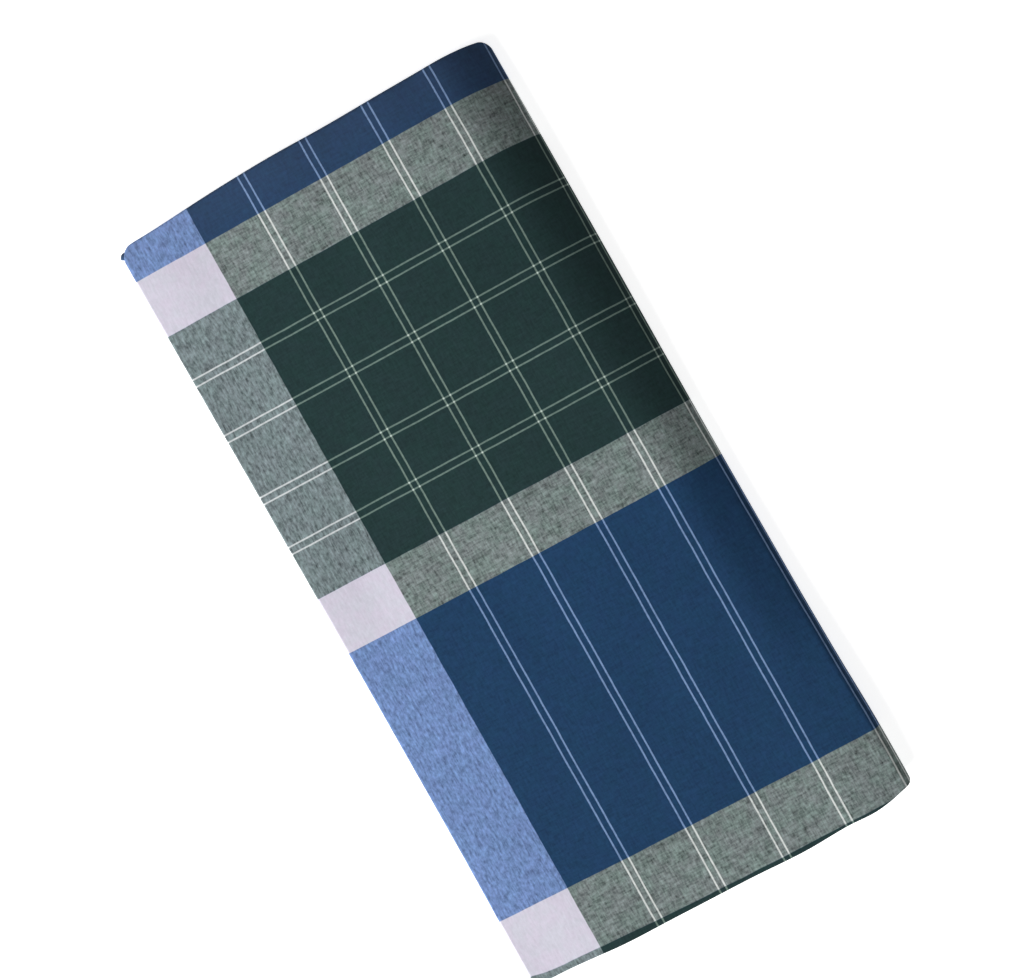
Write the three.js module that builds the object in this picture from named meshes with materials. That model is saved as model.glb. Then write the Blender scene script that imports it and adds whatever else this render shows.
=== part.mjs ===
// A folded lungi: one length of checked cotton, doubled twice each way and lying flat.
// X runs from the selvage edge to the thick fold, Y along the stripes and Z up, in millimetres.
// "across" is measured from the selvage edge, "along" from the far end, "up" from the surface.

import * as THREE from 'three';

// Driving dimensions of the bundle
const bundleWidth = 261;
const bundleLength = 529.6;
const clothWall = 1;
const seamGap = 0.3;
const layerGap = 0.5;

// The thick fold on the right has a shoulder that comes down to a small foot.
// The fold's own stretch of cloth starts this far from the right edge.
const foldReach = 18;
const footReach = 4.5;
const footHeight = 4.8;

// The inner fold, low on the left edge
const leftFoldInset = 1.5;
const leftFoldReach = 4;

// End folds: the cloth rolls in at each end, more at the far end, where it goes round four layers
const nearRoll = 1.1;
const rollSteps = 6;
const steepestFlat = 0.9;
const farCover = 0.2;
const farCorner = { left: 6, right: 12.5 };
const nearCorner = { left: 5, right: 8 };

// Under the thick fold the ends are drawn in a little further
const underTuck = 6;
const underTuckReach = 30;

// The bundle sinks a little towards its ends, and more at the far right corner
const endDip = 1.2;
const endDipReach = 45;
const cornerDip = 2.6;
const cornerDipAcross = 70;
const cornerDipAlong = 90;

// How far the hidden layers stand back from the outer cloth's edge
const hiddenStandBack = 3.4;
const hiddenCornerReach = 8;
const layerStandBack = { least: 0.7, spread: 0.9 };
const selvageStandBack = { least: 0.5, spread: 0.8, groove: 2.2 };
const farStandBack = 1.1;
const wander = { step: 2.4, start: 0.7 };

// How far each end stands back from the bundle's longest point
const endTable = [
  { across: 0, far: 4.2, near: 10.4 },
  { across: 19, far: 3.5, near: 8.8 },
  { across: 55, far: 2.1, near: 5.8 },
  { across: 110, far: 1.0, near: 3.9 },
  { across: 146, far: 0.8, near: 2.4 },
  { across: 190, far: 0.1, near: 0.4 },
  { across: 228, far: 0.1, near: 0.1 },
  { across: 246, far: 0.9, near: 1.4 },
  { across: 261, far: 1.8, near: 3.0 },
];

// The thick fold's edge stands a little further out towards the near end
const rightEdgeTable = [
  { along: 0, across: 258.9 },
  { along: 320, across: 258.9 },
  { along: 400, across: 259.8 },
  { along: 471, across: 261 },
  { along: 529.6, across: 261 },
];

// How far from the right edge the shoulder starts to come down: long and soft at the far end
const shoulderTable = [
  { along: 0, reach: 52 },
  { along: 180, reach: 52 },
  { along: 250, reach: 46 },
  { along: 313, reach: 38 },
  { along: 386, reach: 29 },
  { along: 459, reach: 18 },
  { along: 529.6, reach: 10 },
];

// Height of the upper surface at shares of the way from the selvage edge to the shoulder
const heightTable = [
  { share: 0, far: 12.6, near: 12.4 },
  { share: 0.2, far: 14.6, near: 12.8 },
  { share: 0.45, far: 18.4, near: 13.4 },
  { share: 0.7, far: 21.8, near: 14.0 },
  { share: 0.88, far: 23.5, near: 14.4 },
  { share: 1, far: 24.0, near: 14.5 },
];

// The inner fold's upper side lies in a slot between these two shares of the hidden layers' height
const slot = { low: 0.41, high: 0.61, ledge: 0.01 };

// The hidden layers in bands, as shares of their height: what each shows at its edges
const layerBands = [
  { low: 0.0, high: 0.1, near: 'covered', far: 'covered', left: 'covered' },
  { low: 0.1, high: 0.2, near: 'cut end', far: 'covered', left: 'covered' },
  { low: 0.2, high: 0.31, near: 'cut end', far: 'fold', left: 'covered' },
  { low: 0.31, high: slot.low, near: 'fold', far: 'fold', left: 'covered' },
  { low: slot.high, high: 0.69, near: 'fold', far: 'fold', left: 'selvage' },
  { low: 0.69, high: 0.78, near: 'cut end', far: 'fold', left: 'selvage' },
  { low: 0.78, high: 0.89, near: 'cut end', far: 'covered', left: 'selvage' },
  { low: 0.89, high: 1.0, near: 'covered', far: 'covered', left: 'selvage' },
];

// A ridge has its levels at its rims and at both sides of its crest
const crest = { start: 0.2, end: 0.8 };
const roundness = { fold: 2, cutEdge: 4 };

// Where the meshes have their rows, as shares of the length, and their columns
const rowShares = [0, 0.02, 0.05, 0.1, 0.18, 0.3, 0.42, 0.55, 0.68, 0.8, 0.88, 0.94, 0.98, 1];
const columnShares = [0, 0.05, 0.13, 0.22, 0.33, 0.44, 0.55, 0.66, 0.76, 0.85, 0.92, 0.97, 1];
const columnCounts = { top: 18, shoulder: 9, foot: 4, under: 9, left: 8 };
const endCrowding = 0.55;

const inside = clothWall + layerGap;

function curveThrough(table, key, column) {
  const keys = table.map((row) => row[key]);
  const values = table.map((row) => row[column]);
  const interpolant = new THREE.CubicInterpolant(keys, values, 1);
  return (at) => interpolant.evaluate(at)[0];
}

const farSkew = curveThrough(endTable, 'across', 'far');
const nearSkew = curveThrough(endTable, 'across', 'near');
const rightEdge = curveThrough(rightEdgeTable, 'along', 'across');
const shoulderReach = curveThrough(shoulderTable, 'along', 'reach');
const farHeight = curveThrough(heightTable, 'share', 'far');
const nearHeight = curveThrough(heightTable, 'share', 'near');

function cornerArc(distance, radius) {
  const short = THREE.MathUtils.clamp(radius - distance, 0, radius);
  return radius - Math.sqrt(radius * radius - short * short);
}

// How far the far or near end stands back at one place across the bundle
function standBack(end, across) {
  const isFar = end === 'far';
  const right = rightEdge(isFar ? 0 : bundleLength);
  const at = THREE.MathUtils.clamp(across, 0, right);
  const skew = isFar ? farSkew(at) : nearSkew(at);
  const corner = isFar ? farCorner : nearCorner;
  return skew + cornerArc(at, corner.left) + cornerArc(right - at, corner.right);
}

function fade(distance, reach) {
  return THREE.MathUtils.clamp(1 - distance / reach, 0, 1) ** 2;
}

function tuckAt(across, up) {
  const low = THREE.MathUtils.clamp(1 - up / footHeight, 0, 1);
  return underTuck * low * fade(Math.max(bundleWidth - across, 0), underTuckReach);
}

function shoulderStart(along) {
  return rightEdge(along) - shoulderReach(along);
}

// Height of the crown, which the shoulder leaves at its own start
function crownHeight(across, along) {
  const share = THREE.MathUtils.clamp(across / shoulderStart(along), 0, 1);
  const nearness = THREE.MathUtils.smoothstep(along, 0, bundleLength);
  const height = THREE.MathUtils.lerp(farHeight(share), nearHeight(share), nearness);
  const fromEnd = Math.min(along, bundleLength - along);
  const fromShoulder = Math.max(shoulderStart(along) - across, 0);
  const corner = cornerDip * fade(fromShoulder, cornerDipAcross) * fade(along, cornerDipAlong);
  return height - endDip * fade(fromEnd, endDipReach) - corner;
}

// Height of the upper surface: the crown, then the shoulder as a quarter of an ellipse
function topHeight(across, along) {
  const past = THREE.MathUtils.clamp(across - shoulderStart(along), 0, shoulderReach(along));
  const rise = crownHeight(across, along) - footHeight;
  return footHeight + rise * Math.sqrt(1 - (past / shoulderReach(along)) ** 2);
}

// The outer cloth's section, in the order that the cloth runs: s goes from 0 to 1 on each stretch
function topCurve(s, along) {
  const across = s * (rightEdge(along) - foldReach);
  return { across, up: topHeight(across, along) };
}

function shoulderCurve(s, along) {
  const turn = (s * Math.PI) / 2;
  const across = rightEdge(along) - foldReach * (1 - Math.sin(turn));
  return { across, up: topHeight(across, along) };
}

function footCurve(s, along) {
  const turn = (s * Math.PI) / 2;
  return {
    across: rightEdge(along) - footReach * (1 - Math.cos(turn)),
    up: footHeight * (1 - Math.sin(turn)),
  };
}

function foldCurve(s, along) {
  const share = columnCounts.shoulder / (columnCounts.shoulder + columnCounts.foot);
  return s < share ? shoulderCurve(s / share, along) : footCurve((s - share) / (1 - share), along);
}

function underCurve(s, along) {
  const start = rightEdge(along) - footReach;
  return { across: THREE.MathUtils.lerp(start, leftFoldInset + leftFoldReach, s), up: 0 };
}

// The inner fold's upper side lies in the middle of the slot in the hidden layers
function leftFoldHeight(along) {
  const middle = (slot.low + slot.high) / 2;
  return THREE.MathUtils.lerp(inside, topHeight(0, along) - inside, middle) + clothWall / 2;
}

function leftCurve(s, along) {
  const middle = leftFoldHeight(along) / 2;
  const turn = s * Math.PI;
  return {
    across: leftFoldInset + leftFoldReach * (1 - Math.sin(turn)),
    up: middle * (1 - Math.cos(turn)),
  };
}

// The way into the bundle from a point of the section, square to the cloth
function inwardAt(curve, s, along) {
  const nudge = 0.001;
  const before = curve(Math.max(s - nudge, 0), along);
  const after = curve(Math.min(s + nudge, 1), along);
  const inward = new THREE.Vector2(after.up - before.up, before.across - after.across);
  return inward.normalize();
}

// The far roll is large where the cloth lies flat and small round the folds
function farRollAt(across, inward) {
  const covered = farCover * (topHeight(across, 0) - 2 * inside);
  const flatRoll = (Math.max(covered, 0) + clothWall) / 2;
  const flatness = THREE.MathUtils.smoothstep(Math.abs(inward.y), steepestFlat, 1);
  return THREE.MathUtils.lerp(nearRoll, flatRoll, flatness);
}

function clothPoint(curve, s, row, depth) {
  const along = row.share * bundleLength;
  const here = curve(s, along);
  const inward = inwardAt(curve, s, along);
  const farRoll = farRollAt(here.across, inward);
  const tuck = tuckAt(here.across, here.up);
  const farBase = standBack('far', here.across) + tuck + farRoll;
  const nearBase = bundleLength - standBack('near', here.across) - tuck - nearRoll;
  const roll = row.end === 'near' ? nearRoll : farRoll;
  const beyond = (roll - depth) * Math.sin(row.turn);
  const sunk = roll - (roll - depth) * Math.cos(row.turn);
  const base = THREE.MathUtils.lerp(farBase, nearBase, row.share);
  const placedAlong = row.end === 'near' ? base + beyond : base - beyond;
  return new THREE.Vector3(
    here.across + inward.x * sunk - bundleWidth / 2,
    bundleLength / 2 - placedAlong,
    here.up + inward.y * sunk,
  );
}

function clothRows() {
  const rows = rowShares.map((share) => ({ share, end: 'far', turn: 0 }));
  for (let step = 1; step <= rollSteps; step += 1) {
    const turn = (Math.PI * step) / rollSteps;
    rows.unshift({ share: 0, end: 'far', turn });
    rows.push({ share: 1, end: 'near', turn });
  }
  return rows;
}

// The length of a stretch's section, halfway along the bundle
function pathLength(curve, steps) {
  const along = bundleLength / 2;
  let length = 0;
  for (let step = 0; step < steps; step += 1) {
    const a = curve(step / steps, along);
    const b = curve((step + 1) / steps, along);
    length += Math.hypot(b.across - a.across, b.up - a.up);
  }
  return length;
}

function solid(name, points, triangles, colour) {
  const geometry = new THREE.BufferGeometry();
  const flat = points.flatMap((point) => point.toArray());
  geometry.setAttribute('position', new THREE.Float32BufferAttribute(flat, 3));
  geometry.setIndex(triangles);
  geometry.computeVertexNormals();
  const material = new THREE.MeshStandardMaterial({ color: colour, roughness: 0.9, metalness: 0 });
  const mesh = new THREE.Mesh(geometry, material);
  mesh.name = name;
  return mesh;
}

const closerAtStart = (t) => t * t;
const closerAtEnds = (t) => t - (endCrowding * Math.sin(2 * Math.PI * t)) / (2 * Math.PI);

// A wall on one stretch of the section: an outer and an inner grid, joined round their rims.
// The columns are spaced evenly along the section unless a spacing says otherwise
function clothStretch(name, curve, columns, colour, spacing = (t) => t) {
  const rows = clothRows();
  const margin = seamGap / 2 / pathLength(curve, columns);
  const points = [];
  for (const depth of [0, clothWall]) {
    for (let column = 0; column <= columns; column += 1) {
      const s = THREE.MathUtils.clamp(spacing(column / columns), margin, 1 - margin);
      rows.forEach((row) => points.push(clothPoint(curve, s, row, depth)));
    }
  }
  const layer = (columns + 1) * rows.length;
  const index = (depth, column, row) => depth * layer + column * rows.length + row;
  const triangles = [];
  const quad = (a, b, c, d) => triangles.push(a, b, c, a, c, d);
  const lastRow = rows.length - 1;
  for (let c = 0; c < columns; c += 1) {
    for (let r = 0; r < lastRow; r += 1) {
      quad(index(0, c, r), index(0, c, r + 1), index(0, c + 1, r + 1), index(0, c + 1, r));
      quad(index(1, c, r), index(1, c + 1, r), index(1, c + 1, r + 1), index(1, c, r + 1));
    }
    quad(index(0, c, 0), index(0, c + 1, 0), index(1, c + 1, 0), index(1, c, 0));
    const end = lastRow;
    quad(index(0, c + 1, end), index(0, c, end), index(1, c, end), index(1, c + 1, end));
  }
  for (let r = 0; r < lastRow; r += 1) {
    quad(index(0, 0, r + 1), index(0, 0, r), index(1, 0, r), index(1, 0, r + 1));
    const side = columns;
    quad(index(0, side, r), index(0, side, r + 1), index(1, side, r + 1), index(1, side, r));
  }
  return solid(name, points, triangles, colour);
}

// A rounded ridge between two shares of the height: 0 at its rims and 1 along its middle
function ridge(share, low, high, squareness) {
  const offCentre = Math.abs((2 * (share - low)) / (high - low) - 1);
  return Math.max(1 - offCentre ** squareness, 0) ** (1 / squareness);
}

// Layers don't lie exactly over each other: from one to the next this goes unevenly from 0 to 1
function unevenness(band) {
  return 0.5 + 0.5 * Math.sin(wander.step * band + wander.start);
}

function bandAt(share) {
  return layerBands.findIndex((row) => share >= row.low && share <= row.high);
}

// At the far end one fold goes round all the layers of its half that show there
function farFold(share) {
  const isUpper = share >= slot.high;
  const folds = layerBands.filter((row) => row.far === 'fold' && row.low >= slot.high === isUpper);
  return ridge(share, folds[0].low, folds.at(-1).high, roundness.fold);
}

function edgeShape(end, share) {
  const band = bandAt(share);
  if (band < 0 || layerBands[band][end] === 'covered') {
    return 0;
  }
  if (end === 'far') {
    return farFold(share);
  }
  const { low, high } = layerBands[band];
  const isFold = layerBands[band][end] === 'fold';
  return ridge(share, low, high, isFold ? roundness.fold : roundness.cutEdge);
}

function layerReach(end, share) {
  const uneven = layerStandBack.least + layerStandBack.spread * unevenness(bandAt(share));
  const standing = end === 'far' ? farStandBack : uneven;
  return (hiddenStandBack - standing) * edgeShape(end, share);
}

function hiddenLevels() {
  const shares = [slot.low, slot.low + slot.ledge, slot.high - slot.ledge, 1];
  for (const { low, high } of layerBands) {
    const height = high - low;
    shares.push(low, low + height * crest.start, low + height * crest.end);
  }
  return shares.sort((a, b) => a - b);
}

function hiddenTop(across, along) {
  return crownHeight(Math.min(across, shoulderStart(along)), along) - inside;
}

// The right edge follows the inside of the thick fold
function hiddenRight(share, along) {
  const shoulder = shoulderStart(along);
  const top = crownHeight(shoulder, along);
  const up = THREE.MathUtils.lerp(inside, top - inside, share);
  if (up >= footHeight) {
    const rise = (up - footHeight) / (top - footHeight - inside);
    const reach = shoulderReach(along) - inside;
    return shoulder + reach * Math.sqrt(Math.max(1 - rise * rise, 0));
  }
  const drop = (footHeight - up) / (footHeight - inside);
  const foot = rightEdge(along) - footReach;
  return foot + (footReach - inside) * Math.sqrt(Math.max(1 - drop * drop, 0));
}

// The left edge: open selvages above, and below them what the inner fold wraps
function hiddenLeft(share, along) {
  if (share >= slot.high - slot.ledge / 2) {
    const edge = selvageStandBack.least + selvageStandBack.spread * unevenness(bandAt(share));
    return THREE.MathUtils.lerp(selvageStandBack.groove, edge, edgeShape('left', share));
  }
  const centre = leftFoldInset + leftFoldReach;
  if (share > slot.low) {
    return centre + inside;
  }
  const middle = leftFoldHeight(along) / 2;
  const up = THREE.MathUtils.lerp(inside, hiddenTop(0, along), share);
  const off = (up - middle) / (middle - inside);
  return centre - (leftFoldReach - inside) * Math.sqrt(Math.max(1 - off * off, 0));
}

function hiddenEnd(end, across, share) {
  const places = [across - hiddenCornerReach, across, across + hiddenCornerReach];
  const back = Math.max(...places.map((place) => standBack(end, place) + tuckAt(place, 0)));
  const fromRight = bundleWidth - foldReach - across;
  const shown = THREE.MathUtils.smoothstep(fromRight, 0, foldReach);
  return back + hiddenStandBack - layerReach(end, share) * shown;
}

function hiddenPoint(columnShare, rowShare, share) {
  const along = rowShare * bundleLength;
  const left = hiddenLeft(share, along);
  const right = hiddenRight(share, along);
  const across = THREE.MathUtils.lerp(left, right, columnShare);
  const far = hiddenEnd('far', across, share);
  const near = bundleLength - hiddenEnd('near', across, share);
  return new THREE.Vector3(
    across - bundleWidth / 2,
    bundleLength / 2 - THREE.MathUtils.lerp(far, near, rowShare),
    THREE.MathUtils.lerp(inside, hiddenTop(across, along), share),
  );
}

// The hidden layers as one solid: the outside of a lattice of columns, rows and levels
function hiddenLayers(name, colour) {
  const levels = hiddenLevels();
  const last = { c: columnShares.length - 1, r: rowShares.length - 1, l: levels.length - 1 };
  const points = [];
  const known = new Map();
  const at = (c, r, l) => {
    const key = `${c} ${r} ${l}`;
    if (!known.has(key)) {
      known.set(key, points.length);
      points.push(hiddenPoint(columnShares[c], rowShares[r], levels[l]));
    }
    return known.get(key);
  };
  const triangles = [];
  const side = (firstCount, secondCount, corner) => {
    for (let a = 0; a < firstCount; a += 1) {
      for (let b = 0; b < secondCount; b += 1) {
        const quad = [corner(a, b), corner(a + 1, b), corner(a + 1, b + 1), corner(a, b + 1)];
        triangles.push(quad[0], quad[1], quad[2], quad[0], quad[2], quad[3]);
      }
    }
  };
  side(last.c, last.r, (a, b) => at(a, b, 0));
  side(last.r, last.c, (a, b) => at(b, a, last.l));
  side(last.r, last.l, (a, b) => at(0, a, b));
  side(last.l, last.r, (a, b) => at(last.c, b, a));
  side(last.l, last.c, (a, b) => at(b, 0, a));
  side(last.c, last.l, (a, b) => at(a, last.r, b));
  return solid(name, points, triangles, colour);
}

const foldColumns = columnCounts.shoulder + columnCounts.foot;
const lungi = new THREE.Group();
lungi.add(clothStretch('top_panel', topCurve, columnCounts.top, 0x2f4a5e, closerAtEnds));
lungi.add(clothStretch('right_fold', foldCurve, foldColumns, 0x26404c));
lungi.add(clothStretch('under_panel', underCurve, columnCounts.under, 0x274450, closerAtStart));
lungi.add(clothStretch('left_fold', leftCurve, columnCounts.left, 0x7d8b93));
lungi.add(hiddenLayers('hidden_layers', 0x52646c));

export default lungi;
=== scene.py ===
"""A folded checked lungi: one length of cotton cloth, doubled twice each way and lying flat.

The whole cloth is one mesh, 1.06 m by 2.10 m, folded to sixteen layers. In the bundle, "across" is measured
from the selvage edge, "along" from the far end and "up" from the surface, all in millimetres.
"""

import math

import bpy
import numpy as np
from mathutils import Matrix, Vector


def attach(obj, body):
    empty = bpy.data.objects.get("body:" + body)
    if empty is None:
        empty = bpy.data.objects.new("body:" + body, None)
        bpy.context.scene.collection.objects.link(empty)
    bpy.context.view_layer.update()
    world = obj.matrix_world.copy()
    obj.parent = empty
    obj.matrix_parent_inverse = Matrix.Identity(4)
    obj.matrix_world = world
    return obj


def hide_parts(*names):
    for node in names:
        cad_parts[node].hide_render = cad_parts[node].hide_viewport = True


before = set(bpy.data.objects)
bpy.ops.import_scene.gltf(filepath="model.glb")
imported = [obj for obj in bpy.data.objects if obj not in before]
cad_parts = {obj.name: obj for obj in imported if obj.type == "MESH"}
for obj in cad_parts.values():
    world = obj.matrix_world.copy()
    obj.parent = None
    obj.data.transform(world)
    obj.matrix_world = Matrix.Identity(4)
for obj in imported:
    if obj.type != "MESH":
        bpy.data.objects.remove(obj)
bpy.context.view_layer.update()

MM = 0.001

# The bundle's driving dimensions, as in the solids
BUNDLE_WIDTH = 261.0
BUNDLE_LENGTH = 529.6
FOOT_HEIGHT = 4.8
FOOT_REACH = 4.5
LEFT_FOLD_INSET = 1.5
LEFT_FOLD_REACH = 4.0
# The left fold's far corner peeks out from under the upper layers
LEFT_FOLD_CORNER = {"out": 4.2, "start": 8.5, "reach": 4.5, "forward": 9.0}
RIGHT_FOLD_REACH = 7.5
# How far the thick fold's arc may lean at its start, and the least fall that it keeps beyond the slope
MOST_LEAN = 0.8
LEAST_FALL = 0.01
CORNERS = {"far": {"left": 7.5, "right": 7.0}, "near": {"left": 5.0, "right": 3.0}}
UNDER_TUCK = 6.0
UNDER_TUCK_REACH = 30.0
END_DIP = {"depth": 1.2, "reach": 45.0}
CORNER_DIP = {"depth": 2.6, "across": 70.0, "along": 90.0}

# How far each end stands back from the bundle's longest point
END_TABLE = [
    {"across": 0, "far": 5.0, "near": 9.8},
    {"across": 8, "far": 4.1, "near": 9.2},
    {"across": 19, "far": 3.8, "near": 8.6},
    {"across": 36, "far": 3.0, "near": 7.2},
    {"across": 55, "far": 2.1, "near": 5.5},
    {"across": 95, "far": 1.4, "near": 4.2},
    {"across": 146, "far": 1.9, "near": 2.4},
    {"across": 186, "far": 1.4, "near": 0.2},
    {"across": 213, "far": 1.1, "near": 0.8},
    {"across": 234, "far": 0.9, "near": 0.2},
    {"across": 246, "far": 1.1, "near": 1.9},
    {"across": 254, "far": 1.5, "near": 3.7},
    {"across": 261, "far": 1.2, "near": 4.4},
]
RIGHT_EDGE_TABLE = [
    {"along": 0, "across": 259.3},
    {"along": 150, "across": 259.4},
    {"along": 225, "across": 259.0},
    {"along": 283, "across": 258.9},
    {"along": 340, "across": 259.1},
    {"along": 404, "across": 259.5},
    {"along": 440, "across": 260.1},
    {"along": 471, "across": 261.0},
    {"along": 529.6, "across": 261.3},
]
# The upper selvage lies this far in from the left edge, or out from it
SELVAGE_TABLE = [
    {"along": 0, "in": -0.3},
    {"along": 40, "in": -0.4},
    {"along": 90, "in": -0.15},
    {"along": 160, "in": 0.3},
    {"along": 215, "in": 0.25},
    {"along": 340, "in": 0.4},
    {"along": 430, "in": -0.1},
    {"along": 490, "in": -0.8},
    {"along": 529.6, "in": -0.8},
]
SELVAGE_WAVER = {"depth": 0.12, "length": 31.0}
# The bundle is highest this far from its right edge
RIDGE_TABLE = [
    {"along": 0, "reach": 52},
    {"along": 180, "reach": 52},
    {"along": 250, "reach": 46},
    {"along": 313, "reach": 38},
    {"along": 386, "reach": 29},
    {"along": 459, "reach": 18},
    {"along": 529.6, "reach": 10},
]
# Between the ridge and the thick fold it bends down from start to end, steeply at the bundle's far end
SLOPE_TABLE = [
    {"along": 0, "slope": 0.55, "start": 217, "end": 250},
    {"along": 60, "slope": 0.54, "start": 216, "end": 250},
    {"along": 120, "slope": 0.45, "start": 212, "end": 248},
    {"along": 200, "slope": 0.37, "start": 213, "end": 247},
    {"along": 270, "slope": 0.33, "start": 217, "end": 241},
    {"along": 313, "slope": 0.28, "start": 218, "end": 238},
    {"along": 350, "slope": 0.21, "start": 219, "end": 237},
    {"along": 387, "slope": 0.15, "start": 220, "end": 237},
    {"along": 425, "slope": 0.06, "start": 220, "end": 238},
    {"along": 460, "slope": 0.02, "start": 220, "end": 238},
    {"along": 529.6, "slope": 0.02, "start": 220, "end": 238},
]
HEIGHT_TABLE = [
    {"share": 0, "far": 12.6, "near": 12.4},
    {"share": 0.2, "far": 14.6, "near": 12.8},
    {"share": 0.45, "far": 18.4, "near": 13.4},
    {"share": 0.7, "far": 21.8, "near": 14.0},
    {"share": 0.88, "far": 23.5, "near": 14.4},
    {"share": 1, "far": 24.0, "near": 14.5},
]

# The cloth, and how its layers lie in the bundle
CLOTH_WIDTH = 1060.0
CLOTH_THICKNESS = 0.38
LAYERS = 16
FOLD_STEP = 0.9
LEFT_FOLD_STEP = 0.75
INNER_NOSE_BACK = 1.6
CUT_END_BACK = {"c": 1.3, "d": 2.3}
QUARTER_BACK = {"first": 0.0, "second": 1.2, "third": 1.9, "fourth": 0.9}
# Layers lie a little unevenly: the selvages over each other, the ends, and the two cut ends
SELVAGE_UNEVEN = {"least": 0.5, "spread": 0.9, "turn": 2.4, "start": 0.7}
SELVAGE_WAVES = [
    {"depth": 0.28, "length": 47, "turn": 1},
    {"depth": 0.15, "length": 19, "turn": 2},
]
END_WAVER = {"depth": 0.18, "length": 23, "turn": 2.1}
CUT_END_WAVER = {"depth": 0.35, "columns": 5}

# Each quarter of the width holds four lengths, a to d. Each row gives a length's layer, from the bottom
LAYER_OF = {
    "first": {"a": 15, "b": 14, "c": 13, "d": 12},
    "second": {"a": 0, "b": 1, "c": 2, "d": 3},
    "third": {"a": 7, "b": 6, "c": 5, "d": 4},
    "fourth": {"a": 8, "b": 9, "c": 10, "d": 11},
}

# How the mesh is divided, and how much closer its divisions are at the ends of a stretch
COLUMNS = {
    "first": 56,
    "shoulder": 11,
    "foot": 5,
    "second": 12,
    "left": 8,
    "third": 14,
    "inner": 9,
    "fourth": 14,
}
ROWS = {"a": 150, "b": 34, "c": 34, "d": 44, "outer_nose": 12, "inner_nose": 6, "near_nose": 6}
COLUMN_CROWDING = 0.75
ROW_CROWDING = 0.7

# Soft creases and swells left by wear of the folds: where each runs, how long, wide and deep it is
CREASES = [
    {"across": 64, "along": 150, "turn": 83, "length": 120, "width": 9, "depth": 0.21},
    {"across": 128, "along": 118, "turn": 78, "length": 150, "width": 12, "depth": 0.27},
    {"across": 176, "along": 214, "turn": 96, "length": 130, "width": 13, "depth": 0.24},
    {"across": 96, "along": 300, "turn": 88, "length": 170, "width": 11, "depth": 0.23},
    {"across": 152, "along": 352, "turn": 84, "length": 140, "width": 14, "depth": 0.27},
    {"across": 206, "along": 402, "turn": 99, "length": 120, "width": 12, "depth": 0.24},
    {"across": 30, "along": 238, "turn": 92, "length": 90, "width": 8, "depth": 0.16},
    {"across": 40, "along": 420, "turn": 86, "length": 130, "width": 9, "depth": 0.19},
    {"across": 110, "along": 470, "turn": 12, "length": 90, "width": 10, "depth": 0.16},
    {"across": 150, "along": 60, "turn": 7, "length": 110, "width": 10, "depth": 0.19},
    {"across": 186, "along": 300, "turn": 172, "length": 90, "width": 11, "depth": 0.16},
]
SWELLS = [
    {"across_wave": 92, "along_wave": 210, "start": 0.4, "height": 0.22},
    {"across_wave": 61, "along_wave": 133, "start": 2.1, "height": 0.13},
    {"across_wave": 147, "along_wave": 96, "start": 4.0, "height": 0.12},
]


def curve_through(table, key, column):
    """A smooth curve through a table's rows, as a function of its key column."""
    keys = np.array([row[key] for row in table], float)
    values = np.array([row[column] for row in table], float)
    slopes = np.gradient(values, keys)

    def evaluate(at):
        at = np.clip(at, keys[0], keys[-1])
        row = np.clip(np.searchsorted(keys, at, side="right") - 1, 0, len(keys) - 2)
        step = keys[row + 1] - keys[row]
        t = (at - keys[row]) / step
        ease = t * t * (3 - 2 * t)
        leaving = t * (1 - t) ** 2 * step * slopes[row]
        arriving = t * t * (t - 1) * step * slopes[row + 1]
        return values[row] * (1 - ease) + values[row + 1] * ease + leaving + arriving

    return evaluate


end_back = {end: curve_through(END_TABLE, "across", end) for end in ("far", "near")}
right_edge = curve_through(RIGHT_EDGE_TABLE, "along", "across")
upper_selvage = curve_through(SELVAGE_TABLE, "along", "in")
ridge_reach = curve_through(RIDGE_TABLE, "along", "reach")
right_slope = curve_through(SLOPE_TABLE, "along", "slope")
slope_start = curve_through(SLOPE_TABLE, "along", "start")
slope_end = curve_through(SLOPE_TABLE, "along", "end")
table_height = {end: curve_through(HEIGHT_TABLE, "share", end) for end in ("far", "near")}


def lerp(start, end, share):
    return start + (end - start) * share


def smooth_step(value, low, high):
    t = np.clip((value - low) / (high - low), 0, 1)
    return t * t * (3 - 2 * t)


def fade(distance, reach):
    return np.clip(1 - distance / reach, 0, 1) ** 2


def corner_arc(distance, radius):
    short = np.clip(radius - distance, 0, radius)
    return radius - np.sqrt(radius * radius - short * short)


def stand_back(end, across):
    """How far the far or near end stands back from the bundle's longest point, at one place across."""
    right = right_edge(0 if end == "far" else BUNDLE_LENGTH)
    at = np.clip(across, 0, right)
    corner = CORNERS[end]
    rounding = corner_arc(at, corner["left"]) + corner_arc(right - at, corner["right"])
    return end_back[end](at) + rounding


def ridge_place(along):
    return right_edge(along) - ridge_reach(along)


def fold_start(along):
    return right_edge(along) - RIGHT_FOLD_REACH


def slope_drop(across, along):
    """How far the upper surface has come down on the slope towards the thick fold."""
    start = slope_start(along)
    end = slope_end(along)
    bending = np.clip(across - start, 0, end - start) ** 2 / (2 * (end - start))
    straight = np.maximum(across - end, 0)
    return right_slope(along) * (bending + straight)


def swell(across, along):
    """The soft unevenness of the upper surface: low swells, and creases as shallow troughs."""
    height = np.zeros(np.broadcast(across, along).shape)
    for wave in SWELLS:
        phase = across * 2 * math.pi / wave["across_wave"] + wave["start"]
        height = height + wave["height"] * np.sin(phase) * np.cos(along * 2 * math.pi / wave["along_wave"])
    for crease in CREASES:
        turn = math.radians(crease["turn"])
        x = across - crease["across"]
        y = along - crease["along"]
        run = (x * math.cos(turn) + y * math.sin(turn)) / (crease["length"] / 2)
        off = (y * math.cos(turn) - x * math.sin(turn)) / crease["width"]
        height = height - crease["depth"] * np.exp(-off * off) * np.exp(-run ** 4)
    return height


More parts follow.
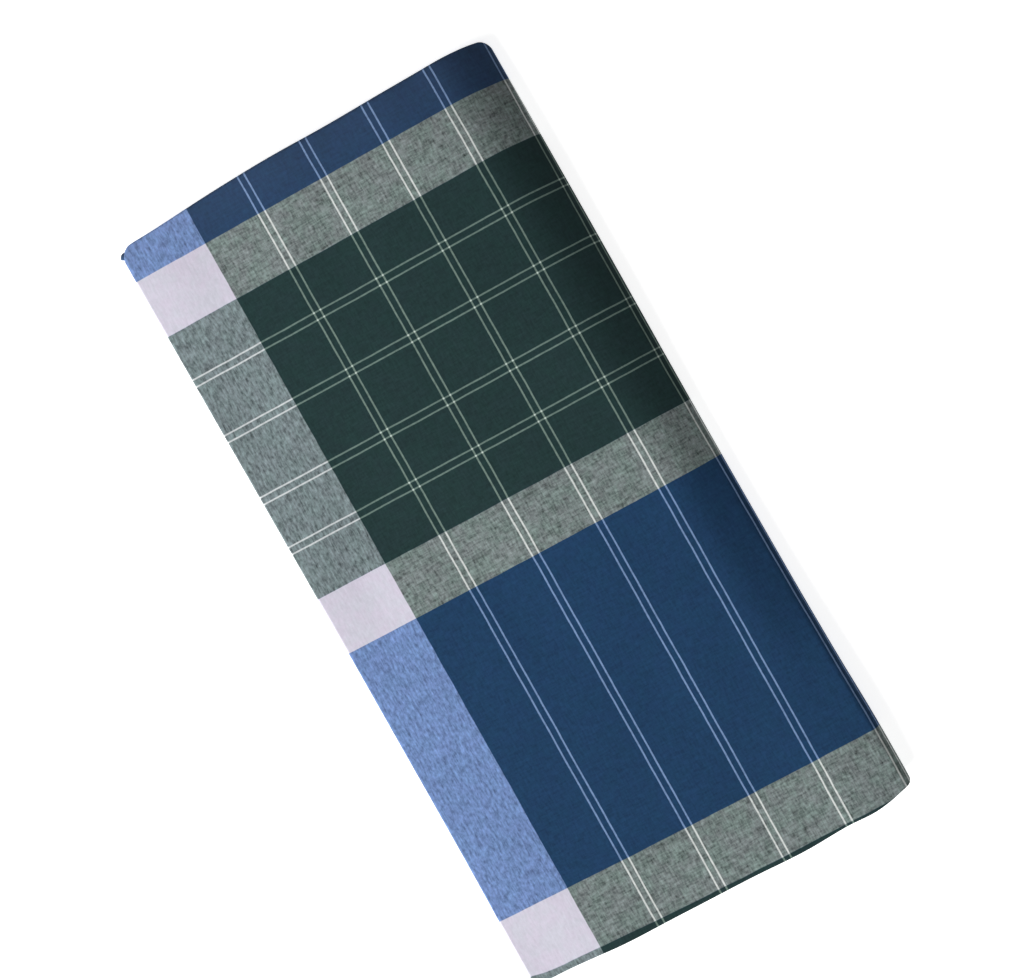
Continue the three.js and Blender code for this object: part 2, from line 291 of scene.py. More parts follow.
def level_height(across, along):
    """Height of the bundle from the selvage edge to its ridge, and on at the ridge's height."""
    along = np.clip(along, 0, BUNDLE_LENGTH)
    ridge = ridge_place(along)
    share = np.clip(across / ridge, 0, 1)
    nearness = smooth_step(along, 0, BUNDLE_LENGTH)
    height = lerp(table_height["far"](share), table_height["near"](share), nearness)
    from_end = np.minimum(along, BUNDLE_LENGTH - along)
    corner = fade(np.maximum(ridge - across, 0), CORNER_DIP["across"]) * fade(along, CORNER_DIP["along"])
    return height - END_DIP["depth"] * fade(from_end, END_DIP["reach"]) - CORNER_DIP["depth"] * corner


def crown_height(across, along):
    """Height of the bundle from the selvage edge to the start of the thick fold."""
    return level_height(across, along) - slope_drop(across, along)


def layer_up(layer, across, along):
    """Height of the middle of one layer, counted from 0 at the bottom."""
    share = layer / (LAYERS - 1)
    room = crown_height(across, along) - CLOTH_THICKNESS
    return CLOTH_THICKNESS / 2 + (room + swell(across, along)) * share


def top_selvage_in(along):
    return upper_selvage(along) + SELVAGE_WAVER["depth"] * np.sin(along / SELVAGE_WAVER["length"])


def selvage_in(layer, along):
    """The open selvages on the left lie a little unevenly over each other."""
    if layer == LAYERS - 1:
        return top_selvage_in(along)
    uneven = 0.5 + 0.5 * math.sin(SELVAGE_UNEVEN["turn"] * layer + SELVAGE_UNEVEN["start"])
    place = SELVAGE_UNEVEN["least"] + SELVAGE_UNEVEN["spread"] * uneven
    for wave in SELVAGE_WAVES:
        place = place + wave["depth"] * np.sin(along / wave["length"] + wave["turn"] * layer)
    return place


def fold_index(layer):
    """Folds round the right-hand edge lie inside each other: 0 is the outermost."""
    return min(layer, LAYERS - 1 - layer)


def right_tip(index, along):
    return right_edge(along) - CLOTH_THICKNESS / 2 - index * FOLD_STEP


def quarter_section(quarter, t, length, along):
    """A point of one quarter of the width: t runs from its left end to its right one."""
    layer = LAYER_OF[quarter][length]
    index = fold_index(layer)
    if quarter in ("first", "fourth"):
        left = selvage_in(layer, along)
        right = fold_start(along)
    else:
        left = LEFT_FOLD_INSET + LEFT_FOLD_REACH
        right = right_tip(index, along) - FOOT_REACH
    across = lerp(left, right, t)
    return across, layer_up(layer, across, along)


def right_section(t, upper, along, columns_above):
    """A point of a fold round the right-hand edge: t runs down from its upper layer to its lower one."""
    lower = LAYERS - 1 - upper
    index = fold_index(upper)
    start = fold_start(along)
    tip = right_tip(index, along)
    crown = crown_height(start, along)
    middle = lerp(FOOT_HEIGHT, crown / 2, index / (LAYERS / 2 - 1))
    foot = tip - FOOT_REACH
    top = layer_up(upper, start, along)
    bottom = layer_up(lower, foot, along)
    # Its upper part is an arc of an ellipse that goes on from the slope before it
    slope = right_slope(along) * upper / (LAYERS - 1)
    fall = (top - middle) / (tip - start)
    lean = np.where(fall > slope, slope / np.maximum(fall - slope, slope + LEAST_FALL), MOST_LEAN)
    lean = np.clip(lean, 0, MOST_LEAN)
    first_angle = np.arcsin(lean)
    above = lerp(first_angle, math.pi / 2, np.clip(t / columns_above, 0, 1))
    below = np.clip((t - columns_above) / (1 - columns_above), 0, 1) * math.pi / 2
    out = (np.sin(above) - lean) / (1 - lean)
    across = start + (tip - start) * out - FOOT_REACH * (1 - np.cos(below))
    high = middle + (top - middle) * np.cos(above) / np.cos(first_angle)
    low = bottom + (middle - bottom) * (1 - np.sin(below))
    return across, np.where(t < columns_above, high, low)


def left_section(t, length, along):
    """A point of the inner fold on the left: t runs from its lower layer round to its upper one."""
    lower = LAYER_OF["second"][length]
    upper = LAYER_OF["third"][length]
    centre = LEFT_FOLD_INSET + LEFT_FOLD_REACH
    bottom = layer_up(lower, centre, along)
    top = layer_up(upper, centre, along)
    reach = LEFT_FOLD_REACH - CLOTH_THICKNESS / 2 - lower * LEFT_FOLD_STEP
    if lower == 0:
        from_corner = np.maximum(along - LEFT_FOLD_CORNER["start"], 0)
        reach = reach + LEFT_FOLD_CORNER["out"] * fade(from_corner, LEFT_FOLD_CORNER["reach"])
    turn = t * math.pi
    across = centre - reach * np.sin(turn)
    return across, (bottom + top) / 2 - (top - bottom) / 2 * np.cos(turn)


# The share of a right-hand fold's columns that lies on its upper arc, in the outer and the inner folds
SHOULDER_SHARE = COLUMNS["shoulder"] / (COLUMNS["shoulder"] + COLUMNS["foot"])
INNER_SHARE = 0.6


def section(kind, t, length, along):
    """A point of the folded width. The kinds follow each other from the first selvage to the last."""
    if kind in ("first", "third"):
        return quarter_section(kind, t, length, along)
    if kind in ("second", "fourth"):
        return quarter_section(kind, 1 - t, length, along)
    if kind == "outer":
        return right_section(t, LAYER_OF["first"][length], along, SHOULDER_SHARE)
    if kind == "left":
        return left_section(t, length, along)
    return right_section(1 - t, LAYER_OF["fourth"][length], along, INNER_SHARE)


def closer_at_ends(t, amount):
    return t - amount * math.sin(2 * math.pi * t) / (2 * math.pi)


def column_places():
    """Each column's kind and its share of the way along it. Neighbouring kinds share one column."""
    counts = {
        "first": COLUMNS["first"],
        "outer": COLUMNS["shoulder"] + COLUMNS["foot"],
        "second": COLUMNS["second"],
        "left": COLUMNS["left"],
        "third": COLUMNS["third"],
        "inner": COLUMNS["inner"],
        "fourth": COLUMNS["fourth"],
    }
    places = [("first", 0.0)]
    for kind, count in counts.items():
        crowding = COLUMN_CROWDING if kind in LAYER_OF else 0.0
        places += [(kind, closer_at_ends((step + 1) / count, crowding)) for step in range(count)]
    return places


def quarter_back(kind, t):
    """How far a column's quarter stands back at the ends from the upper one. Folds run between two."""
    between = {"outer": ("first", "second"), "left": ("second", "third"), "inner": ("third", "fourth")}
    if kind in QUARTER_BACK:
        return QUARTER_BACK[kind]
    before, after = between[kind]
    return lerp(QUARTER_BACK[before], QUARTER_BACK[after], t)


def end_rows(places, end):
    """How far the cloth stands back at one end, for each column."""
    along = 0 if end == "far" else BUNDLE_LENGTH
    back = []
    for kind, t in places:
        across, up = section(kind, t, "a", along)
        low = np.clip(1 - up / FOOT_HEIGHT, 0, 1)
        tuck = UNDER_TUCK * low * fade(np.maximum(BUNDLE_WIDTH - across, 0), UNDER_TUCK_REACH)
        quarter = quarter_back(kind, t)
        wave = END_WAVER["depth"] * np.sin(across / END_WAVER["length"] + END_WAVER["turn"] * quarter)
        forward = 0
        if (kind, end) == ("left", "far"):
            forward = LEFT_FOLD_CORNER["forward"] * math.sin(math.pi * t)
        back.append(float(stand_back(end, across) + tuck + quarter + wave - forward))
    return np.array(back)


def length_grid(places, length, far_back, near_back):
    """The points of one length of the cloth: its rows run from the far end to the near one."""
    count = ROWS[length]
    shares = np.array([closer_at_ends(row / count, ROW_CROWDING) for row in range(count + 1)])
    grid = np.zeros((len(shares), len(places), 3))
    for column, (kind, t) in enumerate(places):
        along = lerp(far_back[column], BUNDLE_LENGTH - near_back[column], shares)
        across, up = section(kind, t, length, along)
        grid[:, column, 0] = across
        grid[:, column, 1] = along
        grid[:, column, 2] = up
    return grid


def nose(start, end, direction, count):
    """The rounded fold that joins two rows of points: it bulges by half the distance between them."""
    centre = (start + end) / 2
    half = (start - end) / 2
    reach = np.linalg.norm(half[:, [0, 2]], axis=1)
    rows = []
    for step in range(1, count):
        turn = math.pi * step / count
        row = centre + half * math.cos(turn)
        row[:, 1] += direction * reach * math.sin(turn)
        rows.append(row)
    return np.array(rows)


def nose_reach(places, first, second, along):
    """Half the distance between two lengths of the cloth at one end, for each column."""
    reach = []
    for kind, t in places:
        one = np.array(section(kind, t, first, along), float)
        other = np.array(section(kind, t, second, along), float)
        reach.append(np.linalg.norm(one - other) / 2)
    return np.array(reach)


def cloth_points():
    """All the cloth's rows, from one cut end to the other, and each length's place among them."""
    places = column_places()
    far = end_rows(places, "far")
    near = end_rows(places, "near")
    half = CLOTH_THICKNESS / 2
    outer = far + nose_reach(places, "a", "d", 0) + half
    inner = far + INNER_NOSE_BACK + nose_reach(places, "b", "c", 0) + half
    folded = near + nose_reach(places, "a", "b", BUNDLE_LENGTH) + half
    wave = CUT_END_WAVER["depth"] * np.sin(np.arange(len(places)) / CUT_END_WAVER["columns"])
    a = length_grid(places, "a", outer, folded)
    b = length_grid(places, "b", inner, folded)
    c = length_grid(places, "c", inner, near + CUT_END_BACK["c"] + wave)
    d = length_grid(places, "d", outer, near + CUT_END_BACK["d"] - wave)
    parts = {
        "d": d[::-1],
        "far_outer": nose(d[0], a[0], -1, ROWS["outer_nose"]),
        "a": a,
        "near": nose(a[-1], b[-1], 1, ROWS["near_nose"]),
        "b": b[::-1],
        "far_inner": nose(b[0], c[0], -1, ROWS["inner_nose"]),
        "c": c,
    }
    spans = {}
    start = 0
    for name, part in parts.items():
        spans[name] = (start, start + len(part))
        start += len(part)
    return np.concatenate(list(parts.values())), spans


# The camera looks straight down on this place of the bundle. The photo's scale holds at the scale height
# above the surface, and the camera is at the camera height above that
CAMERA_HEIGHT = 1100.0
SCALE_HEIGHT = 16.0
VIEW_CENTRE = {"across": 136.5, "along": 249.1}

# Where the check lies on the cloth: its cross stripes fan out and bow a little towards the near end
FAN = {"spread": 8.67e-5, "tilt": 0.0020, "true_at": 122.0, "start": 9.7, "bow": 1.1}
# The last white band is eased out towards the near fold, more so on the right
EASE_START = 479.2
EASE_TABLE = [
    {"across": 0, "ease": 0.0},
    {"across": 8, "ease": 0.04},
    {"across": 18, "ease": 0.057},
    {"across": 35, "ease": 0.058},
    {"across": 64, "ease": 0.072},
    {"across": 100, "ease": 0.086},
    {"across": 150, "ease": 0.09},
    {"across": 261, "ease": 0.09},
]
check_ease = curve_through(EASE_TABLE, "across", "ease")
# The lengthwise lines drift a little towards the selvage
DRIFT_TABLE = [
    {"along": 0, "drift": -0.6},
    {"along": 110, "drift": -0.05},
    {"along": 200, "drift": 0.6},
    {"along": 340, "drift": 1.35},
    {"along": 529.6, "drift": 2.8},
]
check_drift = curve_through(DRIFT_TABLE, "along", "drift")
# Round the thick fold the cloth is pulled further over in the middle of its length than at its ends
PULL_TABLE = [
    {"along": 0, "pull": -0.4},
    {"along": 45, "pull": 0.0},
    {"along": 80, "pull": 0.8},
    {"along": 125, "pull": 2.0},
    {"along": 200, "pull": 2.9},
    {"along": 290, "pull": 2.5},
    {"along": 375, "pull": 2.1},
    {"along": 435, "pull": 1.1},
    {"along": 490, "pull": -0.3},
    {"along": 529.6, "pull": -0.3},
]
# How far from the first selvage the pull starts, and where it is full
PULL_FROM = 226.0
PULL_FULL = 250.0
fold_pull = curve_through(PULL_TABLE, "along", "pull")


def as_seen(across, along):
    """Where the camera sees a place that is on the level surface: what is higher looks larger."""
    lift = level_height(across, along) - SCALE_HEIGHT
    nearer = CAMERA_HEIGHT / (CAMERA_HEIGHT - lift)
    seen_across = VIEW_CENTRE["across"] + (across - VIEW_CENTRE["across"]) * nearer
    return seen_across, VIEW_CENTRE["along"] + (along - VIEW_CENTRE["along"]) * nearer


def stripe_place(across, along):
    """How far a place on the upper surface is along the cloth, measured from the far fold."""
    seen_across, seen_along = as_seen(across, along)
    fan = (1 + FAN["spread"] * FAN["true_at"]) / (1 + FAN["spread"] * seen_across)
    tilt = FAN["tilt"] * (seen_across - FAN["true_at"])
    share = np.clip(across / BUNDLE_WIDTH, 0, 1)
    bow = FAN["bow"] * 4 * share * (1 - share) * along / BUNDLE_LENGTH
    place = FAN["start"] + (seen_along - FAN["start"] - tilt - bow) * fan
    past = np.maximum(place - EASE_START, 0)
    return place - past * check_ease(across)


def cloth_coordinates(points, spans):
    """Each point's place on the flat cloth: from its first selvage, and along from the far fold."""
    steps = np.linalg.norm(np.diff(points[:, :, [0, 2]], axis=1), axis=2)
    from_selvage = np.concatenate([np.zeros((len(points), 1)), np.cumsum(steps, axis=1)], axis=1)
    fold_end = COLUMNS["first"] + COLUMNS["shoulder"] + COLUMNS["foot"]
    shown = from_selvage[:, fold_end:fold_end + 1]
    rest = (from_selvage - shown) / (from_selvage[:, -1:] - shown)
    scaled = shown + rest * (CLOTH_WIDTH - shown)
    from_selvage = np.where(from_selvage > shown, scaled, from_selvage)
    # The yarns run straighter than the selvage
    drift = check_drift(points[:, :, 1]) + top_selvage_in(points[:, :, 1])
    drift = drift + fold_pull(points[:, :, 1]) * smooth_step(from_selvage, PULL_FROM, PULL_FULL)
    from_selvage = from_selvage + drift * (1 - from_selvage / CLOTH_WIDTH)

    first, last = spans["a"]
    shown = points[first:last]
    stripes = stripe_place(shown[:, :, 0], shown[:, :, 1])
    steps = np.linalg.norm(np.diff(points, axis=0), axis=2)
    run = np.concatenate([np.zeros((1, points.shape[1])), np.cumsum(steps, axis=0)], axis=0)
    along = run - run[first] + stripes[0]
    along[first:last] = stripes
    along[last:] = run[last:] - run[last - 1] + stripes[-1]
    return np.stack([from_selvage, along], axis=2)


def build_cloth(points, coordinates):
    """The folded cloth as a mesh of quads, with its place on the flat cloth as a UV map in metres."""
    rows, columns = points.shape[:2]
    placed = np.empty_like(points)
    placed[:, :, 0] = (points[:, :, 0] - BUNDLE_WIDTH / 2) * MM
    placed[:, :, 1] = (BUNDLE_LENGTH / 2 - points[:, :, 1]) * MM
    placed[:, :, 2] = points[:, :, 2] * MM
    numbers = np.arange(rows * columns).reshape(rows, columns)
    quads = np.stack([numbers[:-1, :-1], numbers[1:, :-1], numbers[1:, 1:], numbers[:-1, 1:]], axis=2)
    quads = quads.reshape(-1, 4)
    mesh = bpy.data.meshes.new("folded_cloth")
    mesh.from_pydata(placed.reshape(-1, 3).tolist(), [], quads.tolist())
    uv_map = mesh.uv_layers.new(name="cloth")
    flat = coordinates.reshape(-1, 2)[quads.reshape(-1)] * MM
    uv_map.data.foreach_set("uv", flat.astype(np.float32).reshape(-1))
    mesh.polygons.foreach_set("use_smooth", [True] * len(mesh.polygons))
    mesh.update()
    cloth = bpy.data.objects.new("folded_cloth", mesh)
    bpy.context.scene.collection.objects.link(cloth)
    thickness = cloth.modifiers.new("thickness", "SOLIDIFY")
    thickness.thickness = CLOTH_THICKNESS * MM
    thickness.offset = 0.0
    return cloth


# The check, in millimetres on the flat cloth
BORDER_WIDTH = 47.9
PAIR = {"first": 87.1, "pitch": 43.3, "gap": 4.5, "line": 1.05}
REPEAT = 451.0
NAVY_START = -160.7
WHITE_BANDS = [{"start": 27.9, "end": 66.6}, {"start": 251.9, "end": NAVY_START + REPEAT}]
CROSS_PAIRS = {"places": [99.5, 138.8, 182.7, 217.8], "gap": 4.8, "line": 1.0}
# How far one colour takes to pass into the next
BAND_EDGE = 0.5
BORDER_EDGE = 0.5
LINE_EDGE = 0.3
# Yarns don't run dead straight: edges and lines waver over this width
YARN_WAVER = 0.7


def srgb(red, green, blue):
    """A colour given in 0 to 255, in Blender's linear values."""
    channels = []
    for value in (red, green, blue):
        share = value / 255
        channels.append(share / 12.92 if share <= 0.04045 else ((share + 0.055) / 1.055) ** 2.4)
    return (*channels, 1.0)


# What each band of the weft makes of the dark warp, the white border and the light lines
BAND_COLOURS = {
    "navy": {"ground": (29, 61, 95), "border": (112, 138, 187), "line": (120, 148, 190)},
    "white": {"ground": (115, 126, 125), "border": (210, 206, 221), "line": (214, 219, 217)},
    "green": {"ground": (34, 55, 56), "border": (118, 131, 134), "line": (114, 134, 126)},
}
BAND_MOTTLE = {
    "navy": {"ground": 0.26, "border": 0.6},
    "white": {"ground": 0.8, "border": 0.10},
    "green": {"ground": 0.26, "border": 0.8},
}
# Noise over the flat cloth: how large its patches are in millimetres, how fine it gets, where it is read
NOISES = {
    "warp": {"across": 1.3, "along": 6.2, "detail": 3.0, "roughness": 0.6, "shift": 3.1},
    "weft": {"across": 6.2, "along": 1.3, "detail": 3.0, "roughness": 0.6, "shift": 7.7},
    "fine": {"across": 2.1, "along": 2.3, "detail": 3.0, "roughness": 0.6, "shift": 1.3},
    "waver": {"across": 20.0, "along": 20.0, "detail": 2.0, "roughness": 0.5, "shift": 5.0},
    "tint": {"across": 11.0, "along": 13.0, "detail": 4.0, "roughness": 0.65, "shift": 9.0},
    "cloud": {"across": 50.0, "along": 90.0, "detail": 3.0, "roughness": 0.5, "shift": 2.0},
}
# How much the long and the fine yarn places count in the mottle
MOTTLE_PARTS = {
    "ground": {"long": 1.1, "fine": 0.8},
    "border": {"long": 1.4, "fine": 1.0},
}
# Greenish and purplish yarns show in patches, less so in the border
TINTS = {"cool": (0.945, 1.03, 0.98, 1), "warm": (1.045, 0.985, 1.02, 1)}
TINT_STEPS = {"cool": 0.36, "warm": 0.64}
TINT_SHARE = {"ground": 0.8, "border": 0.4}
CROSS_LINE = {"ground": (108, 129, 122), "border": (210, 215, 217), "crossing": (196, 210, 202)}
# How much the light yarns cover the cloth under them, and how that changes with the fine yarn places
LINE_COVER = {"middle": 0.92, "change": 0.5}
# The dye is lighter and darker by this share in slow clouds, and the colour is a little lighter near the
# far fold
DYE_CLOUD = 0.1
FAR_FOLD_LIGHTER = {"reach": 75.0, "share": 0.05, "colour": (150, 140, 150)}
# The relief of the weave: a thread's pitch and the bump's depth in millimetres, its strength, and how
# much the threads and the uneven yarns count in it
WEAVE = {"pitch": 0.45, "depth": 0.1, "strength": 0.28, "threads": 0.35, "yarns": 0.8}
COTTON = {"Roughness": 0.88, "Specular IOR Level": 0.12, "Sheen Weight": 0.05, "Sheen Roughness": 0.45}


class Shader:
    """Short calls for building one material's nodes."""

    def __init__(self, name):
        self.material = bpy.data.materials.new(name)
        self.material.use_nodes = True
        self.tree = self.material.node_tree
        self.tree.nodes.clear()

    def node(self, kind, **settings):
        made = self.tree.nodes.new(kind)
        for key, value in settings.items():
            setattr(made, key, value)
        return made

    def put(self, socket, value):
        if isinstance(value, bpy.types.NodeSocket):
            self.tree.links.new(value, socket)
        else:
            socket.default_value = value

    def math(self, operation, first, second=0.0, third=0.0):
        made = self.node("ShaderNodeMath", operation=operation)
        for socket, value in zip(made.inputs, (first, second, third)):
            self.put(socket, value)
        return made.outputs[0]

    def between(self, share, start, end):
        """A value that goes from start to end as the share goes from 0 to 1."""
        return self.math("MULTIPLY_ADD", share, end - start, start)

    def steps(self, value, low, high):
        """0 below the low value, 1 above the high one and smooth between them."""
        made = self.node("ShaderNodeMapRange", interpolation_type="SMOOTHSTEP")
        self.put(made.inputs["Value"], value)
        made.inputs["From Min"].default_value = low
        made.inputs["From Max"].default_value = high
        return made.outputs["Result"]

    def mix(self, share, first, second, blend="MIX"):
        made = self.node("ShaderNodeMix", data_type="RGBA", blend_type=blend)
        self.put(made.inputs["Factor"], share)
        self.put(made.inputs[6], first)
        self.put(made.inputs[7], second)
        return made.outputs[2]

    def noise(self, place, name):
        """The noise of one row of the table, from 0 to 1."""
        row = NOISES[name]
        stretched = self.node("ShaderNodeMapping")
        self.put(stretched.inputs["Vector"], place)
        stretched.inputs["Scale"].default_value = (1 / (row["across"] * MM), 1 / (row["along"] * MM), 1.0)
        stretched.inputs["Location"].default_value = (row["shift"],) * 3
        made = self.node("ShaderNodeTexNoise", noise_dimensions="3D")
        self.put(made.inputs["Vector"], stretched.outputs["Vector"])
        made.inputs["Scale"].default_value = 1.0
        made.inputs["Detail"].default_value = row["detail"]
        made.inputs["Roughness"].default_value = row["roughness"]
        return made.outputs["Fac"]

    def scaled(self, colour, change):
        """A colour made lighter or darker by a share of itself."""
        made = self.node("ShaderNodeVectorMath", operation="SCALE")
        self.put(made.inputs[0], colour)
        self.put(made.inputs["Scale"], self.math("ADD", change, 1.0))
        return made.outputs[0]

    def surface(self, settings):
        """The material's surface, with its plain settings, linked to the output."""
        made = self.node("ShaderNodeBsdfPrincipled")
        for name, value in settings.items():
            made.inputs[name].default_value = value
        output = self.node("ShaderNodeOutputMaterial")
        self.put(output.inputs["Surface"], made.outputs["BSDF"])
        return made


def band_masks(shader, repeat_place):
    """Masks of the white bands and the green one between them, over a repeat that starts with navy."""
    edge = BAND_EDGE / 2
    first, second = WHITE_BANDS
    at = [place - NAVY_START for place in (first["start"], first["end"], second["start"])]
    past = [shader.steps(repeat_place, (place - edge) * MM, (place + edge) * MM) for place in at]
    green = shader.math("SUBTRACT", past[1], past[2])
    after = shader.steps(repeat_place, (REPEAT - edge) * MM, REPEAT * MM)
    white = shader.math("SUBTRACT", shader.math("SUBTRACT", past[0], green), after)
    return {"white": white, "green": green}


def by_band(shader, masks, values):
    """A value or colour that differs from band to band."""
    with_white = shader.mix(masks["white"], values["navy"], values["white"])
    return shader.mix(masks["green"], with_white, values["green"])


def band_colour(shader, masks, key):
    return by_band(shader, masks, {name: srgb(*row[key]) for name, row in BAND_COLOURS.items()})


def band_mottle(shader, masks, key):
    return by_band(shader, masks, {name: (row[key],) * 3 + (1.0,) for name, row in BAND_MOTTLE.items()})


def pair_mask(shader, offset, gap, line):
    """1 on a pair of thin lines about the middle where the offset is 0."""
    from_middle = shader.math("ABSOLUTE", offset)
    from_line = shader.math("ABSOLUTE", shader.math("SUBTRACT", from_middle, gap / 2 * MM))
    off = shader.steps(from_line, (line - LINE_EDGE) / 2 * MM, (line + LINE_EDGE) / 2 * MM)
    return shader.math("SUBTRACT", 1.0, off)


def lengthwise_lines(shader, across):
    """The pairs of light warp lines between the two borders."""
    start = PAIR["first"] - PAIR["pitch"] / 2
    phase = shader.math("SUBTRACT", across, start * MM)
    in_pitch = shader.math("FLOORED_MODULO", phase, PAIR["pitch"] * MM)
    offset = shader.math("SUBTRACT", in_pitch, PAIR["pitch"] / 2 * MM)
    lines = pair_mask(shader, offset, PAIR["gap"], PAIR["line"])
    after_first = shader.math("GREATER_THAN", phase, 0.0)
    before_last = shader.math("LESS_THAN", across, (CLOTH_WIDTH - start) * MM)
    return shader.math("MULTIPLY", lines, shader.math("MULTIPLY", after_first, before_last))


def crosswise_lines(shader, repeat_place):
    """The pairs of light weft lines in the green bands."""
    lines = None
    for place in CROSS_PAIRS["places"]:
        offset = shader.math("SUBTRACT", repeat_place, (place - NAVY_START) * MM)
        pair = pair_mask(shader, offset, CROSS_PAIRS["gap"], CROSS_PAIRS["line"])
        lines = pair if lines is None else shader.math("MAXIMUM", lines, pair)
    return lines


def border_mask(shader, across):
    """1 in the white border along each selvage."""
    middle = CLOTH_WIDTH / 2 * MM
    from_middle = shader.math("ABSOLUTE", shader.math("SUBTRACT", across, middle))
    edge = middle - BORDER_WIDTH * MM
    soft = BORDER_EDGE / 2 * MM
    return shader.steps(from_middle, edge - soft, edge + soft)


def yarn_mottle(shader, place):
    """Uneven yarns, from about -1 to 1: streaks along the warp and the weft, and fine spots."""
    return [shader.between(shader.noise(place, name), -1.0, 1.0) for name in ("warp", "weft", "fine")]


def mottled(shader, masks, key, long_yarns, fine):
    """The ground's or the border's colour in each band, lighter and darker with its yarns."""
    parts = MOTTLE_PARTS[key]
    fine_part = shader.math("MULTIPLY", fine, parts["fine"])
    mottle = shader.math("MULTIPLY_ADD", long_yarns, parts["long"], fine_part)
    change = shader.math("MULTIPLY", mottle, band_mottle(shader, masks, key))
    return shader.scaled(band_colour(shader, masks, key), change)


def weave_normal(shader, across, along, yarns):
    """The surface's direction under the weave: warp and weft threads pass over and under each other."""
    turns = 2 * math.pi / (WEAVE["pitch"] * MM)
    warp_wave = shader.math("SINE", shader.math("MULTIPLY", across, turns))
    weft_wave = shader.math("SINE", shader.math("MULTIPLY", along, turns))
    threads = shader.math("MULTIPLY", warp_wave, weft_wave)
    uneven = shader.math("MULTIPLY", yarns, WEAVE["yarns"])
    bump = shader.node("ShaderNodeBump")
    bump.inputs["Strength"].default_value = WEAVE["strength"]
    bump.inputs["Distance"].default_value = WEAVE["depth"] * MM
    shader.put(bump.inputs["Height"], shader.math("MULTIPLY_ADD", threads, WEAVE["threads"], uneven))
    return bump.outputs["Normal"]


def check_material():
    """Plain-woven cotton check, coloured by the place on the flat cloth."""
    shader = Shader("check_cotton")
    uv = shader.node("ShaderNodeUVMap", uv_map="cloth").outputs["UV"]
    split = shader.node("ShaderNodeSeparateXYZ")
    shader.put(split.inputs[0], uv)
    across, along = split.outputs[0], split.outputs[1]

    wavered = shader.between(shader.noise(uv, "waver"), -YARN_WAVER / 2 * MM, YARN_WAVER / 2 * MM)
    across_here = shader.math("ADD", across, wavered)
    along_here = shader.math("ADD", along, wavered)

    from_start = shader.math("SUBTRACT", along_here, NAVY_START * MM)
    repeat_place = shader.math("FLOORED_MODULO", from_start, REPEAT * MM)
    masks = band_masks(shader, repeat_place)
    in_border = border_mask(shader, across_here)

    # The ground's yarns show both ways, the border's along the warp alone
    warp, weft, fine = yarn_mottle(shader, uv)
    crossed = shader.math("ADD", warp, weft)
    ground = mottled(shader, masks, "ground", crossed, fine)
    border = mottled(shader, masks, "border", warp, fine)
    warmth = shader.steps(shader.noise(uv, "tint"), TINT_STEPS["cool"], TINT_STEPS["warm"])
    tinted = shader.mix(warmth, TINTS["cool"], TINTS["warm"])
    tint_share = shader.between(in_border, TINT_SHARE["ground"], TINT_SHARE["border"])
    colour = shader.mix(tint_share, shader.mix(in_border, ground, border), tinted, "MULTIPLY")

    # Light lines over them, brightest where they cross
    cross = crosswise_lines(shader, repeat_place)
    lengthwise = lengthwise_lines(shader, across_here)
    line = band_colour(shader, masks, "line")
    cross_colour = shader.mix(in_border, srgb(*CROSS_LINE["ground"]), srgb(*CROSS_LINE["border"]))
    thinned = shader.math("MULTIPLY_ADD", fine, LINE_COVER["change"], LINE_COVER["middle"])
    colour = shader.mix(shader.math("MULTIPLY", cross, thinned), colour, cross_colour)
    colour = shader.mix(shader.math("MULTIPLY", lengthwise, thinned), colour, line)
    both = shader.math("MULTIPLY", cross, lengthwise)
    colour = shader.mix(both, colour, srgb(*CROSS_LINE["crossing"]))

    # Slow changes of the dye over the cloth, and a little lighter colour near the far fold
    cloud = shader.between(shader.noise(uv, "cloud"), -DYE_CLOUD, DYE_CLOUD)
    colour = shader.scaled(colour, cloud)
    # Within the reach of the far fold the colour is mixed a little towards a pale grey
    from_fold = shader.math("ABSOLUTE", along)
    far_fold_mix = shader.math("SUBTRACT", 1.0, shader.steps(from_fold, 0.0, FAR_FOLD_LIGHTER["reach"] * MM))
    colour = shader.mix(shader.math("MULTIPLY", far_fold_mix, FAR_FOLD_LIGHTER["share"]), colour, srgb(*FAR_FOLD_LIGHTER["colour"]))

    surface = shader.surface(COTTON)
    shader.put(surface.inputs["Base Color"], colour)
    shader.put(surface.inputs["Normal"], weave_normal(shader, across, along, crossed))
    return shader.material


# The floor is a wide pale sheet that gives off some light of its own, as for a picture on white
FLOOR_REACH = 40.0
FLOOR = {
    "Base Color": (0.93, 0.93, 0.93, 1),
    "Roughness": 0.9,
    "Specular IOR Level": 0.1,
    "Emission Color": (1, 1, 1, 1),
    "Emission Strength": 0.78,
}


def floor_material():
    shader = Shader("pale_floor")
    shader.surface(FLOOR)
    return shader.material


def add_floor():
    reach = FLOOR_REACH
    mesh = bpy.data.meshes.new("floor")
    corners = [(-reach, -reach, 0), (reach, -reach, 0), (reach, reach, 0), (-reach, reach, 0)]
    mesh.from_pydata(corners, [], [(0, 1, 2, 3)])
    mesh.materials.append(floor_material())
    floor = bpy.data.objects.new("floor", mesh)
    bpy.context.scene.collection.objects.link(floor)


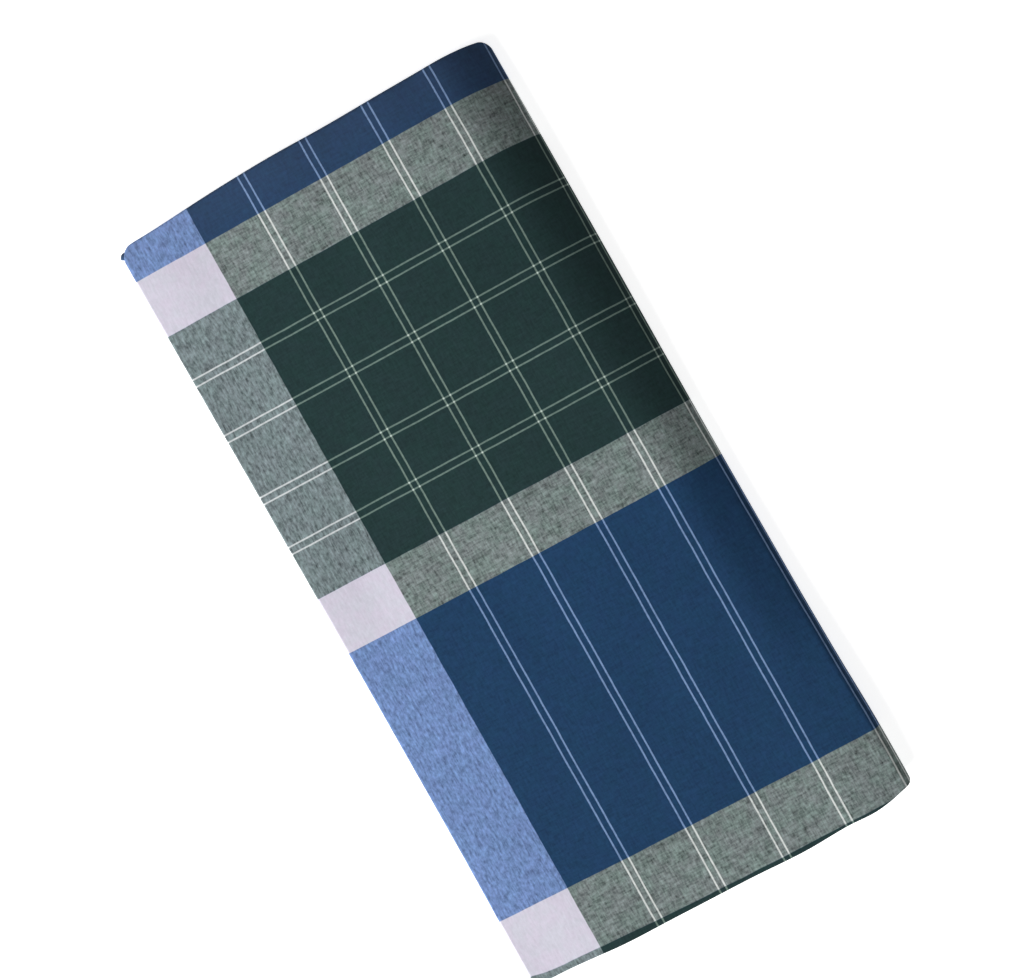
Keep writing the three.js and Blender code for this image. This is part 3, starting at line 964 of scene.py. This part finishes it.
# The picture's up direction is turned from the bundle's length
PHOTO_WIDTH = 1024
MM_PER_PIXEL = 0.607
VIEW_TURN = 29.62
SENSOR = 36.0


def add_camera():
    data = bpy.data.cameras.new("camera")
    data.sensor_fit = "HORIZONTAL"
    data.sensor_width = SENSOR
    data.lens = SENSOR * CAMERA_HEIGHT / (PHOTO_WIDTH * MM_PER_PIXEL)
    camera = bpy.data.objects.new("camera", data)
    x = VIEW_CENTRE["across"] - BUNDLE_WIDTH / 2
    y = BUNDLE_LENGTH / 2 - VIEW_CENTRE["along"]
    place = Vector((x, y, CAMERA_HEIGHT + SCALE_HEIGHT)) * MM
    camera.matrix_world = Matrix.Translation(place) @ Matrix.Rotation(math.radians(-VIEW_TURN), 4, "Z")
    bpy.context.scene.collection.objects.link(camera)
    bpy.context.scene.camera = camera


# Soft studio light: a large source beyond the selvage side and a weak one over the near end, in metres
LIGHTS = [
    {"name": "key", "place": (-5.2, -1.9, 2.65), "size": 3.6, "power": 720, "colour": (1.0, 0.995, 0.985)},
    {"name": "fill", "place": (-0.6, -3.4, 4.6), "size": 3.6, "power": 20, "colour": (0.98, 0.99, 1.0)},
]
WORLD_LIGHT = 0.14


def add_lights():
    for row in LIGHTS:
        data = bpy.data.lights.new(row["name"], "AREA")
        data.size = row["size"]
        data.energy = row["power"]
        data.color = row["colour"]
        light = bpy.data.objects.new(row["name"], data)
        place = Vector(row["place"])
        light.location = place
        light.rotation_euler = (-place).to_track_quat("-Z", "Y").to_euler()
        bpy.context.scene.collection.objects.link(light)
    world = bpy.data.worlds.new("studio")
    world.use_nodes = True
    background = world.node_tree.nodes["Background"]
    background.inputs["Color"].default_value = (1.0, 1.0, 1.0, 1)
    background.inputs["Strength"].default_value = WORLD_LIGHT
    bpy.context.scene.world = world
    bpy.context.scene.view_settings.view_transform = "Standard"


def add_cloth():
    points, spans = cloth_points()
    cloth = build_cloth(points, cloth_coordinates(points, spans))
    cloth.data.materials.append(check_material())
    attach(cloth, "root")
    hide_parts("top_panel", "right_fold", "under_panel", "left_fold", "hidden_layers")


add_floor()
add_camera()
add_lights()
add_cloth()
